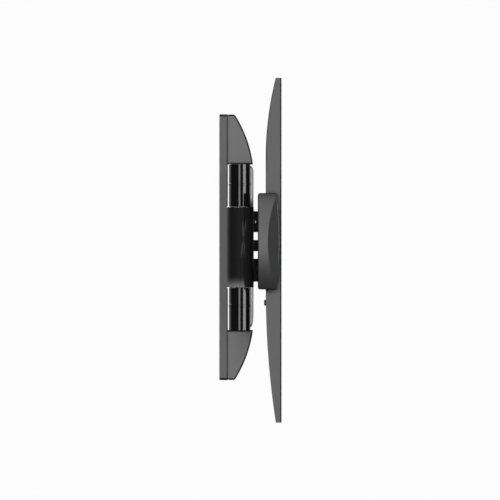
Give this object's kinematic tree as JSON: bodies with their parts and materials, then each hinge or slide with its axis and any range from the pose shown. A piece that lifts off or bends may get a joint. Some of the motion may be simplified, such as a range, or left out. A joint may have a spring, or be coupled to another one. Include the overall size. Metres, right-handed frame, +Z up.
{
  "type": "full motion tv wall mount",
  "caption": "Folding single-arm screen bracket with a narrow wall plate, a swivelling and tilting head, a crossbar and two tall screen rails.",
  "frame": {"origin": "centre of the wall plate's back face, on the wall plane", "axes": "X along the wall, -Y out of the wall towards the screen, +Z up"},
  "size_m": [0.47, 0.078, 0.431],
  "materials": {
    "plate_steel": "dark grey powder coat",
    "arm_steel": "black satin powder coat",
    "rail_steel": "dark grey powder coat",
    "barrel_gloss": "gloss black enamel",
    "cover_plastic": "fine-textured grey plastic",
    "cap_plastic": "fine-textured grey plastic",
    "shroud_plastic": "satin black plastic",
    "plug_plastic": "black plastic",
    "zinc_steel": "bright zinc plate",
    "sleeve_steel": "ground bright steel",
    "black_steel": "black oxide",
    "nylon": "natural nylon"
  },
  "bodies": {
    "wall_side": {"wall_plate": "plate_steel", "edge_trims": "plug_plastic", "wall_ear_upper": "plate_steel", "wall_ear_lower": "plate_steel", "cover_upper": "cover_plastic", "cover_lower": "cover_plastic", "wall_pin": "zinc_steel", "wall_pin_nut": "zinc_steel"},
    "rear_link": {"wall_sleeve": "sleeve_steel", "wall_bushes": "nylon", "rear_arm_upper": "arm_steel", "rear_arm_lower": "arm_steel", "elbow_barrel_upper": "barrel_gloss", "elbow_barrel_lower": "barrel_gloss", "elbow_pin": "zinc_steel", "elbow_plugs": "plug_plastic"},
    "front_link": {"link_plate_upper": "arm_steel", "link_plate_lower": "arm_steel", "link_spine": "arm_steel", "link_barrel": "arm_steel", "link_bushes": "nylon", "elbow_washers": "nylon", "shroud_rear": "shroud_plastic", "shroud_front": "shroud_plastic", "shroud_screws": "black_steel", "head_pin": "zinc_steel", "head_pin_nut": "zinc_steel", "head_washers": "nylon"},
    "head": {"knuckle": "arm_steel", "clamp_bolt": "black_steel", "clamp_nut": "black_steel"},
    "tilt_frame": {"tilt_plate": "arm_steel", "tilt_bolt": "black_steel", "tilt_nut": "black_steel"},
    "crossbar": {"crossbar_tube_upper": "arm_steel", "crossbar_tube_lower": "arm_steel", "crossbar_bracket": "arm_steel", "level_bolt": "black_steel", "level_nut": "black_steel", "level_washer": "nylon", "end_cap_left": "cap_plastic", "end_cap_right": "cap_plastic", "cap_screws": "black_steel"},
    "rail_left": {"rail_left": "rail_steel", "lock_screw_left": "black_steel", "lock_nut_left": "zinc_steel"},
    "rail_right": {"rail_right": "rail_steel", "lock_screw_right": "black_steel", "lock_nut_right": "zinc_steel"},
    "latch_left": {"latch_left": "zinc_steel"},
    "latch_right": {"latch_right": "zinc_steel"}
  },
  "joints": [
    {"name": "wall_swivel", "type": "hinge", "parent": "wall_side", "child": "rear_link", "pos_m": [0.045, -0.028, 0], "axis": [0, 0, 1], "range_deg": [0, 90]},
    {"name": "elbow", "type": "hinge", "parent": "rear_link", "child": "front_link", "pos_m": [-0.202, -0.02565, 0], "axis": [0, 0, 1], "range_deg": [-180, 0]},
    {"name": "head_swivel", "type": "hinge", "parent": "front_link", "child": "head", "pos_m": [0, -0.02565, 0], "axis": [0, 0, 1], "range_deg": [0, 90]},
    {"name": "tilt", "type": "hinge", "parent": "head", "child": "tilt_frame", "pos_m": [0, -0.041, -0.029], "axis": [1, 0, 0], "range_deg": [-2, 8]},
    {"name": "level", "type": "hinge", "parent": "tilt_frame", "child": "crossbar", "pos_m": [0, -0.05, 0.002], "axis": [0, 1, 0], "range_deg": [-3, 3]},
    {"name": "rail_left_slide", "type": "slide", "parent": "crossbar", "child": "rail_left", "axis": [1, 0, 0], "range_m": [0, 0.15]},
    {"name": "rail_right_slide", "type": "slide", "parent": "crossbar", "child": "rail_right", "axis": [-1, 0, 0], "range_m": [0, 0.15]},
    {"name": "latch_left_slide", "type": "slide", "parent": "rail_left", "child": "latch_left", "axis": [0, 0, -1], "range_m": [0, 0.007]},
    {"name": "latch_right_slide", "type": "slide", "parent": "rail_right", "child": "latch_right", "axis": [0, 0, -1], "range_m": [0, 0.007]}
  ],
  "couplings": [
    {"joint": "head_swivel", "follows": "elbow", "ratio": -0.5}
  ]
}
